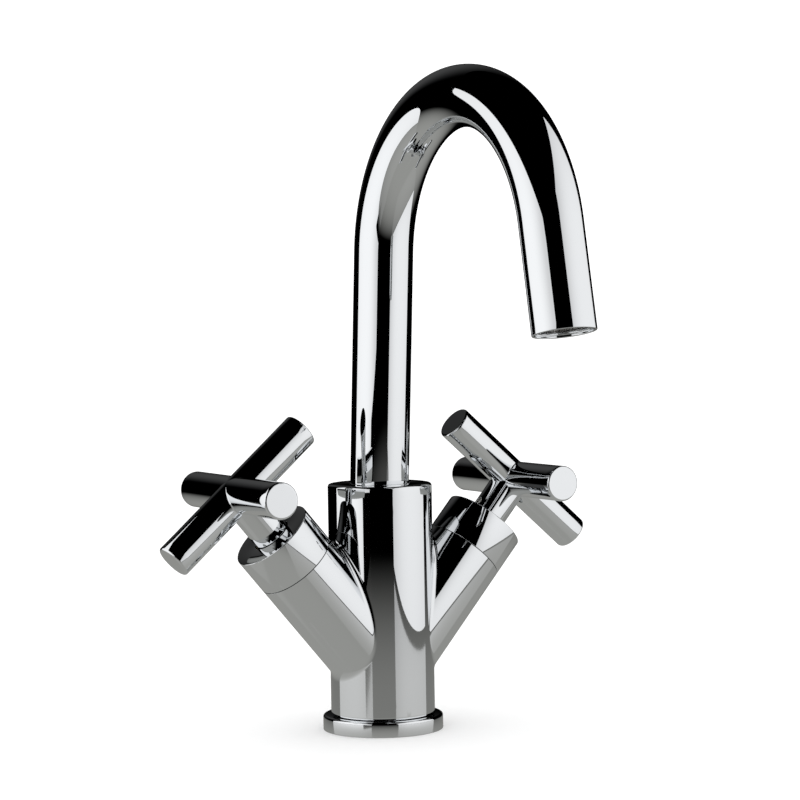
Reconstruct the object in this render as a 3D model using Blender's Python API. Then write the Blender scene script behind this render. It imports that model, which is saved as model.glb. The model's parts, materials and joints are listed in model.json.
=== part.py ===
"""Two-handle basin mixer: a Y-shaped brass body, a swivelling high spout and two cross handles.

The body's axis is +Z, the spout points along -Y at rest, the hot side is -X and the cold side +X.
The origin is the centre of the body's underside, on the deck. Lengths are in metres.
"""

import math

import bmesh
import bpy
from mathutils import Matrix, Vector

MM = 0.001
GAP = 0.3 * MM  # clearance between pieces that touch
EDGE = 0.5 * MM  # small polished edge

# Body and base
BODY_R = 22.5 * MM
BODY_TOP = 106.5 * MM
SPIGOT_R = 19.5 * MM  # lower end of the body, inside the flange
FLANGE_R = 26.0 * MM
FLANGE_H = 6.6 * MM

# Valve arms, measured along each arm's own axis
ARM_TILT = math.radians(40.8)  # from the vertical
ARM_ROOT_Z = 25.9 * MM  # where the arms' axes meet the body's axis
ARM_ROOT = 4.0 * MM
ARM_R = 17.9 * MM
ARM_END = 63.75 * MM
SHROUD_END = 81.0 * MM
CROSS_AT = 104.5 * MM

# Cross handles
BAR_R = 7.7 * MM
BAR_HALF = 40.3 * MM
NECK_R = 8.0 * MM
NECK_START = SHROUD_END - 2.0 * MM
GRUB_R = 1.6 * MM  # handle screw
GRUB_AT = SHROUD_END + 5.0 * MM

# Spout
SPOUT_R = 12.7 * MM
SPOUT_BORE_R = 11.4 * MM
SPOUT_LEAN = math.radians(3.88)  # the riser leans forward from the vertical
RISER = 99.8 * MM
BEND_R = 65.8 * MM
BEND_TURN = math.radians(164.9)
SPOUT_DROP = 43.3 * MM  # straight part that ends at the outlet
BEND_STEP = math.radians(9)

# Spout socket in the body
SOCKET_R = 13.0 * MM
SOCKET_FLOOR = BODY_TOP - 9.0 * MM
SLIDE_RING_H = 1.5 * MM
BARREL_R = 9.8 * MM
BARREL_FLOOR = 66.0 * MM
CHAMBER_R = 7.0 * MM
CHAMBER_FLOOR = 54.0 * MM
SCREW_Z = 84.0 * MM  # height of the spout's retaining screw
SCREW_R = 2.0 * MM
SCREW_TIP = 8.2 * MM  # from the body's axis, in the groove of the spout's nipple

# Cartridge bores and water ways
BORE_R = 12.2 * MM
BORE_SEAT = 33.0 * MM
FEED_R = 4.5 * MM
FEED_START = 18.0 * MM
CROSSING_R = 3.6 * MM
CROSSING_Z = 60.3 * MM
INLET_R = 4.2 * MM  # tapping size of an M10 hose tail
INLET_X = 13.5 * MM
INLET_Y = -3.0 * MM
INLET_TOP = 42.0 * MM
SEAT_RING_H = 1.8 * MM  # rubber ring between a bore's seat and the fixed disc
STUD_HOLE_R = 3.4 * MM  # tapping size of an M8 stud
STUD_HOLE_Y = 12.5 * MM
STUD_HOLE_DEPTH = 16.0 * MM

# Cartridge pieces, with heights along the arm's axis
SKIRT_R = 9.0 * MM  # inside of the housing, around the discs
SHOULDER = 48.0 * MM  # top of the room for the discs
WINDOW_AT = 45.4 * MM  # side ports that let the water out
THREAD_LOW = 50.0 * MM
THREAD_HIGH = 71.0 * MM
COLLAR_R = 7.6 * MM
COLLAR_TOP = SHROUD_END - 4.0 * MM
SPINDLE_TOP = SHROUD_END + 11.0 * MM
DISC_H = 2.8 * MM
PORT_R = 2.6 * MM
PORT_AT = 4.4 * MM
DISC_R = 8.6 * MM
SHAFT_R = 4.0 * MM
SPLINE_R = 3.8 * MM

SIDES = {"hot": -1, "cold": 1}
FINE = 40
ROUND = 24
SMALL = 14

CHROME = ("chrome_plate", (0.86, 0.87, 0.88), 0.05, 1.0)
BRASS = ("turned_brass", (0.78, 0.57, 0.26), 0.30, 1.0)
STEEL = ("stainless_steel", (0.62, 0.61, 0.59), 0.32, 1.0)
RUBBER = ("black_rubber", (0.03, 0.03, 0.03), 0.75, 0.0)
ACETAL = ("white_acetal", (0.82, 0.81, 0.77), 0.45, 0.0)
CERAMIC = ("alumina_ceramic", (0.88, 0.86, 0.80), 0.25, 0.0)


def clear_scene():
    for obj in list(bpy.data.objects):
        bpy.data.objects.remove(obj, do_unlink=True)


def material(name, color, roughness, metallic):
    """A Principled BSDF material, made once and then shared."""
    if name in bpy.data.materials:
        return bpy.data.materials[name]
    made = bpy.data.materials.new(name)
    made.use_nodes = True
    shader = made.node_tree.nodes["Principled BSDF"]
    shader.inputs["Base Color"].default_value = (*color, 1.0)
    shader.inputs["Roughness"].default_value = roughness
    shader.inputs["Metallic"].default_value = metallic
    made.diffuse_color = (*color, 1.0)
    return made


def add_piece(name, bm, finish, parent=None, place=None):
    """A named object from a bmesh, shaded smooth between its sharp edges."""
    bmesh.ops.remove_doubles(bm, verts=bm.verts, dist=1e-7)
    bmesh.ops.recalc_face_normals(bm, faces=bm.faces)
    mesh = bpy.data.meshes.new(name)
    bm.to_mesh(mesh)
    bm.free()
    mesh.shade_smooth()
    mesh.set_sharp_from_angle(angle=math.radians(35))
    mesh.materials.append(material(*finish))
    obj = bpy.data.objects.new(name, mesh)
    bpy.context.scene.collection.objects.link(obj)
    obj.parent = parent
    if place:
        obj.matrix_local = place
    return obj


def add_axis(name, place):
    """An empty on a moving body's joint axis, with +Z along that axis."""
    empty = bpy.data.objects.new(name, None)
    bpy.context.scene.collection.objects.link(empty)
    empty.matrix_world = place
    return empty


def cut_or_join(obj, name, profile, sides, place, operation="DIFFERENCE"):
    """Cuts a turned shape out of an object, or joins it on, with a live Boolean."""
    helper = add_piece(name, turned(profile, sides), STEEL, obj.parent, place)
    helper.hide_render = True
    helper.display_type = "WIRE"
    modifier = obj.modifiers.new(name, "BOOLEAN")
    modifier.operation = operation
    modifier.solver = "EXACT"
    modifier.object = helper


def turned(profile, sides):
    """A closed solid turned about Z from (radius, height) points.

    A profile that starts and ends on the axis makes a plug, and any other makes a ring.
    """
    bm = bmesh.new()
    verts = [bm.verts.new((radius, 0.0, height)) for radius, height in profile]
    edges = [bm.edges.new(pair) for pair in zip(verts, verts[1:])]
    if profile[0][0] > 0.0:
        edges.append(bm.edges.new((verts[-1], verts[0])))
    bmesh.ops.spin(
        bm, geom=verts + edges, cent=(0, 0, 0), axis=(0, 0, 1),
        angle=math.tau, steps=sides, use_merge=True, use_duplicate=False,
    )
    return bm


def plug(radius, low, high, edge=0.0):
    """Section of a solid cylinder, with its rims eased."""
    rim_low = [(radius - edge, low)] if edge else []
    rim_high = [(radius - edge, high)] if edge else []
    side = [(radius, low + edge), (radius, high - edge)]
    return [(0.0, low), *rim_low, *side, *rim_high, (0.0, high)]


def ring(inner, outer, low, high):
    """Section of a plain sleeve or washer."""
    return [(inner, low), (outer, low), (outer, high), (inner, high)]


def seal(inner, outer, middle, points=6):
    """Section of an O-ring between two radii."""
    cord = (outer - inner) / 2
    angles = [math.tau * i / points for i in range(points)]
    return [(inner + cord + cord * math.cos(a), middle + cord * math.sin(a)) for a in angles]


def across(side, x, y, z):
    """Turns +Z to point sideways from a place: side -1 and 1 are -X and +X."""
    return Matrix.Translation((x, y, z)) @ Matrix.Rotation(side * math.pi / 2, 4, "Y")


def arm_place(side):
    """Puts a piece made along +Z on an arm's axis."""
    return Matrix.Translation((0, 0, ARM_ROOT_Z)) @ Matrix.Rotation(side * ARM_TILT, 4, "Y")


def to_the_back(y, z):
    """Turns +Z to point to the back, +Y."""
    return Matrix.Translation((0, y, z)) @ Matrix.Rotation(-math.pi / 2, 4, "X")


def make_body():
    """The Y-shaped casting, with its spout socket, cartridge bores and water ways."""
    outline = [
        (0.0, 0.0),
        (SPIGOT_R, 0.0),
        (SPIGOT_R, FLANGE_H + GAP),
        (BODY_R, FLANGE_H + GAP),
        (BODY_R, BODY_TOP - EDGE),
        (BODY_R - EDGE, BODY_TOP),
        (0.0, BODY_TOP),
    ]
    body = add_piece("body_casting", turned(outline, FINE), CHROME)
    past = 2 * MM  # how far a cutter runs past the face that it opens
    for name, side in SIDES.items():
        arm = plug(ARM_R, ARM_ROOT, ARM_END)
        cut_or_join(body, f"{name}_arm", arm, FINE, arm_place(side), "UNION")
    socket = [
        (0.0, CHAMBER_FLOOR),
        (CHAMBER_R, CHAMBER_FLOOR),
        (CHAMBER_R, BARREL_FLOOR),
        (BARREL_R, BARREL_FLOOR),
        (BARREL_R, SOCKET_FLOOR),
        (SOCKET_R, SOCKET_FLOOR),
        (SOCKET_R, BODY_TOP + past),
        (0.0, BODY_TOP + past),
    ]
    cut_or_join(body, "spout_socket", socket, ROUND, Matrix())
    stud_hole = plug(STUD_HOLE_R, -past, STUD_HOLE_DEPTH)
    half_facet = Matrix.Rotation(math.pi / SMALL, 4, "Z")
    place = Matrix.Translation((0, STUD_HOLE_Y, 0)) @ half_facet
    cut_or_join(body, "stud_hole", stud_hole, SMALL, place)
    screw_hole = plug(SCREW_R + GAP, 0.0, BODY_R)
    cut_or_join(body, "screw_hole", screw_hole, SMALL, to_the_back(CHAMBER_R, SCREW_Z))
    for name, side in SIDES.items():
        bore = [
            (0.0, FEED_START),
            (FEED_R, FEED_START),
            (FEED_R, BORE_SEAT),
            (BORE_R, BORE_SEAT),
            (BORE_R, ARM_END + past),
            (0.0, ARM_END + past),
        ]
        cut_or_join(body, f"{name}_bore", bore, ROUND, arm_place(side))
        inlet = plug(INLET_R, -past, INLET_TOP)
        place = Matrix.Translation((side * INLET_X, INLET_Y, 0))
        cut_or_join(body, f"{name}_inlet", inlet, SMALL, place)
        crossing = plug(CROSSING_R, 2 * MM, 18 * MM)
        cut_or_join(body, f"{name}_crossing", crossing, SMALL, across(side, 0, 0, CROSSING_Z))


def make_base():
    """The loose flange over the deck hole, its seal, and the spout's screw and slide ring."""
    groove_inner, groove_outer, groove_depth = 21.5 * MM, 24.0 * MM, 1.8 * MM
    flange = [
        (SPIGOT_R + GAP, 0.0),
        (groove_inner, 0.0),
        (groove_inner, groove_depth),
        (groove_outer, groove_depth),
        (groove_outer, 0.0),
        (FLANGE_R - EDGE, 0.0),
        (FLANGE_R, EDGE),
        (FLANGE_R, FLANGE_H - EDGE),
        (FLANGE_R - EDGE, FLANGE_H),
        (SPIGOT_R + GAP, FLANGE_H),
    ]
    add_piece("base_flange", turned(flange, FINE), CHROME)
    band = ring(groove_inner + GAP, groove_outer - GAP, 0.0, groove_depth - GAP)
    add_piece("base_seal", turned(band, ROUND), RUBBER)
    screw = plug(SCREW_R, SCREW_TIP, BODY_R - 2 * MM)
    add_piece("spout_retaining_screw", turned(screw, SMALL), STEEL, None, to_the_back(0, SCREW_Z))
    low = SOCKET_FLOOR + GAP
    slide_ring = ring(BARREL_R + GAP, SOCKET_R - GAP, low, low + SLIDE_RING_H)
    add_piece("spout_slide_ring", turned(slide_ring, ROUND), ACETAL)


def spout_path(foot):
    """Centreline of the spout as (point, turn) pairs; turn 0 is up and grows forward."""
    knee = Vector((0, 0, BODY_TOP + EDGE))
    up = Vector((0, -math.sin(SPOUT_LEAN), math.cos(SPOUT_LEAN)))
    forward = Vector((0, -math.cos(SPOUT_LEAN), -math.sin(SPOUT_LEAN)))
    path = [(Vector((0, 0, foot)), 0.0), (knee, SPOUT_LEAN / 2)]
    centre = knee + up * RISER + forward * BEND_R
    steps = round(BEND_TURN / BEND_STEP)
    for i in range(steps + 1):
        turn = BEND_TURN * i / steps
        spoke = up * math.sin(turn) - forward * math.cos(turn)
        path.append((centre + spoke * BEND_R, SPOUT_LEAN + turn))
    point, turn = path[-1]
    down = Vector((0, -math.sin(turn), math.cos(turn)))
    path.append((point + down * SPOUT_DROP, turn))
    return path


def pipe(path, inner, outer, sides):
    """A pipe along a path in the YZ plane, with each section square to the path."""
    bm = bmesh.new()
    angles = [math.tau * i / sides for i in range(sides)]
    walls = []
    for radius, stations in ((outer, path), (inner, path[::-1])):
        for point, turn in stations:
            forward = Vector((0, -math.cos(turn), -math.sin(turn)))
            spokes = [Vector((math.cos(a), 0, 0)) + forward * math.sin(a) for a in angles]
            walls.append([bm.verts.new(point + spoke * radius) for spoke in spokes])
    for low, high in zip(walls, walls[1:] + walls[:1]):
        for i in range(sides):
            bm.faces.new((low[i - 1], low[i], high[i], high[i - 1]))
    return bm


def make_spout():
    """The swivelling pipe, with its grooved nipple and O-rings."""
    axis = add_axis("spout_axis", Matrix())
    foot = SOCKET_FLOOR + SLIDE_RING_H + 2 * GAP
    path = spout_path(foot)
    add_piece("spout_tube", pipe(path, SPOUT_BORE_R, SPOUT_R, ROUND), CHROME, axis)
    bore = 6.0 * MM
    barrel = BARREL_R - GAP
    groove = 2.1 * MM  # depth of the seal grooves
    width = 2.7 * MM
    seals = {"lower": 71.5 * MM, "upper": 92.0 * MM}  # heights of the seals
    notches = [
        (seals["lower"], width, groove),
        (SCREW_Z, 2 * SCREW_R + 2.4 * MM, barrel + GAP - SCREW_TIP),
        (seals["upper"], width, groove),
    ]
    profile = [(bore, BARREL_FLOOR + 1 * MM), (barrel, BARREL_FLOOR + 1 * MM)]
    for middle, size, depth in notches:
        low, high = middle - size / 2, middle + size / 2
        profile += [(barrel, low), (barrel - depth, low), (barrel - depth, high), (barrel, high)]
    profile += [
        (barrel, foot),
        (SPOUT_BORE_R - GAP, foot),
        (SPOUT_BORE_R - GAP, BODY_TOP - 1 * MM),
        (bore, BODY_TOP - 1 * MM),
    ]
    add_piece("spout_nipple", turned(profile, ROUND), BRASS, axis)
    for name, middle in seals.items():
        section = seal(barrel - groove + GAP / 2, BARREL_R - GAP / 2, middle)
        add_piece(f"spout_seal_{name}", turned(section, ROUND), RUBBER, axis)
    return axis, path


def make_aerator(axis, path):
    """The screwed-in aerator at the outlet; its own +Z points back up the pipe."""
    end, turn = path[-1]
    place = Matrix.Translation(end) @ Matrix.Rotation(turn + math.pi, 4, "X")
    outer = SPOUT_BORE_R - GAP
    wall, lip = 9.7 * MM, 9.0 * MM
    low, high = 0.8 * MM, 10.0 * MM
    housing = [
        (lip, low),
        (outer, low),
        (outer, high),
        (wall, high),
        (wall, low + 1 * MM),
        (lip, low + 1 * MM),
    ]
    add_piece("aerator_housing", turned(housing, ROUND), CHROME, axis, place)
    top = low + 1 * MM + GAP
    inner = wall - GAP
    screen = add_piece(
        "aerator_screen", turned(plug(inner, top, top + 1 * MM), ROUND), STEEL, axis, place
    )
    jet = plug(1.6 * MM, top - 1 * MM, top + 2 * MM)
    for i in range(6):
        a = math.tau * i / 6
        shift = Matrix.Translation((5.6 * MM * math.cos(a), 5.6 * MM * math.sin(a), 0))
        cut_or_join(screen, f"jet_{i}", jet, 8, place @ shift)
    top += 1 * MM + GAP
    add_piece("aerator_insert", turned(ring(6.6 * MM, inner, top, high), ROUND), ACETAL, axis, place)
    washer = ring(8.4 * MM, outer, high + GAP, high + 2 * MM)
    add_piece("aerator_seal", turned(washer, ROUND), RUBBER, axis, place)


def add_disc(name, low, high, port_angle, parent, place):
    """A ceramic disc with two round ports, set across the disc at an angle."""
    disc = add_piece(name, turned(plug(DISC_R, low, high), ROUND), CERAMIC, parent, place)
    for i in range(2):
        a = port_angle + math.pi * i
        shift = Matrix.Translation((PORT_AT * math.cos(a), PORT_AT * math.sin(a), 0))
        port = plug(PORT_R, low - 1 * MM, high + 1 * MM)
        cut_or_join(disc, f"{name}_port_{i}", port, SMALL, place @ shift)


def make_cartridge(name, side):
    """The fixed half of a quarter-turn ceramic valve, screwed into an arm."""
    place = arm_place(side)
    outer = BORE_R - GAP
    relief = 10.8 * MM
    seat = BORE_SEAT + GAP
    notch_low, notch_high, notch_r = 53.0 * MM, 55.6 * MM, 9.8 * MM
    housing = [
        (SKIRT_R, seat),
        (outer, seat),
        (outer, seat + 2 * MM),
        (relief, seat + 2 * MM),
        (relief, THREAD_LOW),
        (outer, THREAD_LOW),
        (outer, notch_low),
        (notch_r, notch_low),
        (notch_r, notch_high),
        (outer, notch_high),
        (outer, THREAD_HIGH),
        (COLLAR_R, THREAD_HIGH),
        (COLLAR_R, COLLAR_TOP),
        (SHAFT_R + GAP, COLLAR_TOP),
        (SHAFT_R + GAP, SHOULDER),
        (SKIRT_R, SHOULDER),
    ]
    body = add_piece(f"{name}_cartridge_housing", turned(housing, ROUND), BRASS, None, place)
    window = plug(2.4 * MM, -14 * MM, 14 * MM)
    cut_or_join(body, f"{name}_window", window, SMALL, place @ across(1, 0, 0, WINDOW_AT))
    section = seal(notch_r + GAP / 2, BORE_R - GAP / 2, (notch_low + notch_high) / 2)
    add_piece(f"{name}_cartridge_seal", turned(section, ROUND), RUBBER, None, place)
    bush = ring(FEED_R + 0.5 * MM, SKIRT_R - GAP, seat, seat + SEAT_RING_H)
    add_piece(f"{name}_inlet_seal", turned(bush, ROUND), RUBBER, None, place)
    low = seat + SEAT_RING_H + GAP
    add_disc(f"{name}_fixed_disc", low, low + DISC_H, 0.0, None, place)
    shroud = [
        (BORE_R, ARM_END + GAP),
        (ARM_R, ARM_END + GAP),
        (ARM_R, SHROUD_END - EDGE),
        (ARM_R - EDGE, SHROUD_END),
        (NECK_R + 0.6 * MM, SHROUD_END),
        (NECK_R + 0.6 * MM, SHROUD_END - 2.5 * MM),
        (BORE_R, SHROUD_END - 2.5 * MM),
    ]
    add_piece(f"{name}_valve_shroud", turned(shroud, FINE), CHROME, None, place)


def make_handle(name, side):
    """A cross handle with everything that turns with it, on its arm's axis."""
    axis = add_axis(f"{name}_handle_axis", arm_place(side))
    here = Matrix()
    low = BORE_SEAT + GAP + SEAT_RING_H + GAP + DISC_H + GAP
    add_disc(f"{name}_moving_disc", low, low + DISC_H, math.pi / 2, axis, here)
    low += DISC_H + GAP
    seal_low, seal_high, seal_r = 60.0 * MM, 62.0 * MM, 2.6 * MM
    spindle = [
        (0.0, low),
        (DISC_R - GAP, low),
        (DISC_R - GAP, low + 1.6 * MM),
        (SHAFT_R, low + 1.6 * MM),
        (SHAFT_R, seal_low),
        (seal_r, seal_low),
        (seal_r, seal_high),
        (SHAFT_R, seal_high),
        (SHAFT_R, NECK_START),
        (SPLINE_R, NECK_START),
        (SPLINE_R, SPINDLE_TOP),
        (0.0, SPINDLE_TOP),
    ]
    add_piece(f"{name}_spindle", turned(spindle, SMALL), BRASS, axis)
    section = seal(seal_r + GAP / 2, SHAFT_R + GAP / 2, (seal_low + seal_high) / 2)
    add_piece(f"{name}_spindle_seal", turned(section, SMALL), RUBBER, axis)
    bore = 5.6 * MM
    bar = plug(BAR_R, -BAR_HALF, BAR_HALF, EDGE)
    cross = add_piece(
        f"{name}_cross_handle", turned(bar, ROUND), CHROME, axis, to_the_back(0, CROSS_AT)
    )
    cut_or_join(cross, f"{name}_bar", bar, ROUND, across(1, 0, 0, CROSS_AT), "UNION")
    cut_or_join(cross, f"{name}_neck", plug(NECK_R, NECK_START, CROSS_AT), ROUND, here, "UNION")
    well = plug(bore, NECK_START - 2 * MM, SPINDLE_TOP + 1 * MM)
    cut_or_join(cross, f"{name}_well", well, SMALL, here)
    screw_hole = plug(GRUB_R + GAP, 0.0, NECK_R + 2 * MM)
    cut_or_join(cross, f"{name}_screw_hole", screw_hole, SMALL, to_the_back(0, GRUB_AT))
    sleeve = ring(SPLINE_R + GAP, bore - GAP, NECK_START, SPINDLE_TOP)
    add_piece(f"{name}_spline_sleeve", turned(sleeve, SMALL), ACETAL, axis)
    screw = plug(GRUB_R, bore, NECK_R - 0.6 * MM)
    add_piece(f"{name}_handle_screw", turned(screw, SMALL), STEEL, axis, to_the_back(0, GRUB_AT))


def main():
    clear_scene()
    make_body()
    make_base()
    axis, path = make_spout()
    make_aerator(axis, path)
    for name, side in SIDES.items():
        make_cartridge(name, side)
        make_handle(name, side)


main()
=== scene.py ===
"""Looks of a chrome basin mixer: fine surfaces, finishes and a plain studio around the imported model.

Laid out as an add-on: sizes and colours are properties, and each piece has its own operator.
"""

import json
import math

import bmesh
import bpy
from bpy.props import FloatProperty, FloatVectorProperty, IntProperty, PointerProperty
from mathutils import Matrix, Vector


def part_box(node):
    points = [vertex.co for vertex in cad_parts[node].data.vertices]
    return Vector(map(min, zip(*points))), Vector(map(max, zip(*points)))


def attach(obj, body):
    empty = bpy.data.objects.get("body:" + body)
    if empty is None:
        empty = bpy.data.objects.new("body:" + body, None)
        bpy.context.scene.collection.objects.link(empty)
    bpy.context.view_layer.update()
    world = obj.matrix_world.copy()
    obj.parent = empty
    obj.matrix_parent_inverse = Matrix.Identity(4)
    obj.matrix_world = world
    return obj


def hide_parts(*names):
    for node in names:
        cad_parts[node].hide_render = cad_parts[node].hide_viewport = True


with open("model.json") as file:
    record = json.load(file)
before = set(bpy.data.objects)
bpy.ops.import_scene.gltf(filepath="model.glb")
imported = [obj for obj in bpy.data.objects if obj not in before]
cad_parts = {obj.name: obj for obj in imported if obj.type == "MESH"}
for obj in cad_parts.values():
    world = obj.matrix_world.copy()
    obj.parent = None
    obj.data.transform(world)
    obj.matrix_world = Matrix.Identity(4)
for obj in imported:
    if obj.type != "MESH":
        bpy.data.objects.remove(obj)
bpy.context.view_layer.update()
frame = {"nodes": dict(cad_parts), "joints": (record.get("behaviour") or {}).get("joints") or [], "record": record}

bl_info = {
    "name": "Basin Mixer Looks",
    "version": (1, 0, 0),
    "blender": (4, 5, 0),
    "location": "View3D > Sidebar > Mixer",
    "description": "Fine chrome surfaces and a plain studio for a two-handle basin mixer",
    "category": "Object",
}

MM = 0.001
SIDES = {"hot": -1, "cold": 1}
GAP = 0.3 * MM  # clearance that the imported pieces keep
SHARP = math.radians(35)
NEAR = 1e-5  # how close a point lies to the plane that it is picked by


def arm_axis(side_name):
    """(point where the arm's axis meets the body's axis, unit direction outwards)."""
    joint = next(j for j in frame["joints"] if j["name"] == f"{side_name}_valve_turn")
    point, axis = Vector(joint["pos_m"]), Vector(joint["axis"]).normalized()
    return point - axis * (point.x / axis.x), axis


def reach(node, origin, axis):
    """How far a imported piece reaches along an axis, as (start, end)."""
    points = [(v.co - origin).dot(axis) for v in frame["nodes"][node].data.vertices]
    return min(points), max(points)


def arm_matrix(side_name):
    """Places a piece made along +Z on an arm, with its +Y left as it is."""
    origin, axis = arm_axis(side_name)
    return Matrix.Translation(origin) @ axis.to_track_quat("Z", "Y").to_matrix().to_4x4()


ARM_ROOT, ARM_WAY = arm_axis("cold")
ARM_TILT = math.acos(ARM_WAY.z)
SHROUD_START, SHROUD_END = reach("cold_valve_shroud", ARM_ROOT, ARM_WAY)
ARM_END = SHROUD_START - GAP
ARM_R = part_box("cold_valve_shroud")[1].y
BODY_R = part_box("body_casting")[1].y
BODY_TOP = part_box("body_casting")[1].z
FLANGE_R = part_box("base_flange")[1].x
FLANGE_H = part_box("base_flange")[1].z
NECK_START, CROSS_TOP = reach("cold_cross_handle", ARM_ROOT, ARM_WAY)
BAR_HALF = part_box("cold_cross_handle")[1].y
SPOUT_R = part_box("spout_tube")[1].x
SPOUT_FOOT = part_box("spout_tube")[0].z

# Bores and holes of the body: along the column, along each arm from its root, and from below
SOCKET_STEP = 2.1 * MM
BARREL_R = 9.8 * MM
BARREL_FLOOR = 66 * MM
CHAMBER_R = 7 * MM
CHAMBER_FLOOR = 54 * MM
VALVE_R = 12.2 * MM
VALVE_FLOOR = 33 * MM
FEED_R = 4.5 * MM
FEED_FLOOR = 18 * MM
INLET_R = 4.2 * MM
INLET_AT = (13.5 * MM, -3 * MM)
INLET_TOP = 20 * MM
STUD_R = 3.4 * MM
STUD_AT = 12.5 * MM
STUD_TOP = 16 * MM
SPIGOT_R = BODY_R - 3 * MM
CUT_PAST = 2 * MM  # how far a cutter stands out of what it cuts

# Hidden sizes of the other pieces
SEAL_WIDTH = 1.9 * MM
SEAM_RIM = 0.15 * MM  # edge on both sides of the seam between arm and shroud
SHROUD_LIP = 2.5 * MM
SCREW_WELL_R = 5.6 * MM
SCREW_WELL_PAST = 7 * MM
GRUB_R = 1.9 * MM
KNEE_UP = 0.5 * MM
KNEE_R = 40 * MM
OUTLET_RIM = 0.3 * MM
OUTLET_DEPTH = 14 * MM

# Rows of faces along a piece
ARM_ROWS = 24
BLEND_ROWS = 8
COLUMN_ROWS = 30
BAR_ROWS = 16
BAR_SIDES = 96
CORNER_ROWS = 5
KNEE_ROWS = 4
BEND_ROWS = 132
STRAIGHT_SHARES = (0.05, 0.45, 0.45, 0.05)


# ---------------------------------------------------------------- properties


class MixerSizes(bpy.types.PropertyGroup):
    """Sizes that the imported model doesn't say by itself."""

    bar_edge: FloatProperty(
        name="Bar edge", description="Radius around a bar's end", default=0.9 * MM, unit="LENGTH"
    )
    rim: FloatProperty(
        name="Rim", description="Radius of the body's and the flange's top edges",
        default=1.2 * MM, unit="LENGTH",
    )
    blend: FloatProperty(
        name="Crotch blend", description="Radius between the body and the upper side of an arm",
        default=1.6 * MM, unit="LENGTH",
    )
    blend_low: FloatProperty(
        name="Lower blend", description="Radius between the body and the lower side of an arm",
        default=6.0 * MM, unit="LENGTH",
    )
    blend_fade: FloatProperty(
        name="Blend fade", description="How soon the blend narrows from its lower side upwards",
        default=1.3,
    )
    bar_radius: FloatProperty(
        name="Bar radius", description="Radius of a handle's bars", default=7.7 * MM, unit="LENGTH"
    )
    bar_blend: FloatProperty(
        name="Bar blend", description="Radius in the corner between two bars",
        default=0.45 * MM, unit="LENGTH",
    )
    neck_radius: FloatProperty(
        name="Neck radius", description="Radius of a handle's neck", default=8.0 * MM, unit="LENGTH"
    )
    lean: FloatProperty(
        name="Spout lean", description="How far the riser leans forward",
        default=math.radians(3.88), subtype="ANGLE",
    )
    riser: FloatProperty(
        name="Riser", description="Straight length above the body", default=99.8 * MM, unit="LENGTH"
    )
    bend_radius: FloatProperty(
        name="Bend radius", description="Radius of the spout's centreline",
        default=65.8 * MM, unit="LENGTH",
    )
    bend_turn: FloatProperty(
        name="Bend", description="Angle of the spout's bend",
        default=math.radians(164.9), subtype="ANGLE",
    )
    drop: FloatProperty(
        name="Drop", description="Straight length down to the outlet",
        default=43.3 * MM, unit="LENGTH",
    )
    wall: FloatProperty(
        name="Spout wall", description="Wall of the spout's pipe", default=1.3 * MM, unit="LENGTH"
    )
    sides: IntProperty(name="Sides", description="Facets around the round pieces", default=160)


# ---------------------------------------------------------------- mesh tools


def add_piece(name, bm, place=None):
    """An object at the origin from a bmesh, smooth between its sharp edges."""
    if place:
        bmesh.ops.transform(bm, matrix=place, verts=bm.verts)
    bmesh.ops.remove_doubles(bm, verts=bm.verts, dist=1e-6)
    bmesh.ops.recalc_face_normals(bm, faces=bm.faces)
    mesh = bpy.data.meshes.new(name)
    bm.to_mesh(mesh)
    bm.free()
    mesh.shade_smooth()
    mesh.set_sharp_from_angle(angle=SHARP)
    obj = bpy.data.objects.new(name, mesh)
    bpy.context.scene.collection.objects.link(obj)
    return obj


def arc(centre, radius, start, end, steps=5):
    """Points of an arc in the (radius, height) plane, in degrees from the +radius side."""
    angles = [math.radians(start + (end - start) * i / steps) for i in range(steps + 1)]
    return [(centre[0] + radius * math.cos(a), centre[1] + radius * math.sin(a)) for a in angles]


def turned(profile, sides):
    """A closed solid turned about Z; a profile off the axis at both ends makes a ring."""
    bm = bmesh.new()
    verts = [bm.verts.new((radius, 0.0, height)) for radius, height in profile]
    edges = [bm.edges.new(pair) for pair in zip(verts, verts[1:])]
    if profile[0][0] > 0.0:
        edges.append(bm.edges.new((verts[-1], verts[0])))
    bmesh.ops.spin(
        bm, geom=verts + edges, cent=(0, 0, 0), axis=(0, 0, 1),
        angle=math.tau, steps=sides, use_merge=True, use_duplicate=False,
    )
    return bm


def plug(radius, low, high, sides=32):
    """A plain solid cylinder along Z."""
    return turned([(0.0, low), (radius, low), (radius, high), (0.0, high)], sides)


def skin(bm, rings, closed=True):
    """Joins rings of points by quads."""
    loops = [[bm.verts.new(point) for point in ring] for ring in rings]
    for low, high in zip(loops, loops[1:]):
        for i in range(0 if closed else 1, len(low)):
            bm.faces.new((low[i - 1], low[i], high[i], high[i - 1]))


def grow(bm, loop, move):
    """Extrudes a loop of edges, moves the new loop and returns it."""
    made = bmesh.ops.extrude_edge_only(bm, edges=loop)["geom"]
    verts = {g for g in made if isinstance(g, bmesh.types.BMVert)}
    bmesh.ops.transform(bm, matrix=move, verts=list(verts))
    edges = [g for g in made if isinstance(g, bmesh.types.BMEdge)]
    return [e for e in edges if e.verts[0] in verts and e.verts[1] in verts]


def spin_on(bm, loop, centre, angle, steps):
    """Spins a loop of edges about X through a centre, and returns the last loop."""
    made = bmesh.ops.spin(
        bm, geom=loop, cent=centre, axis=(1, 0, 0),
        angle=angle, steps=steps, use_merge=False, use_duplicate=False,
    )["geom_last"]
    return [g for g in made if isinstance(g, bmesh.types.BMEdge)]


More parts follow.
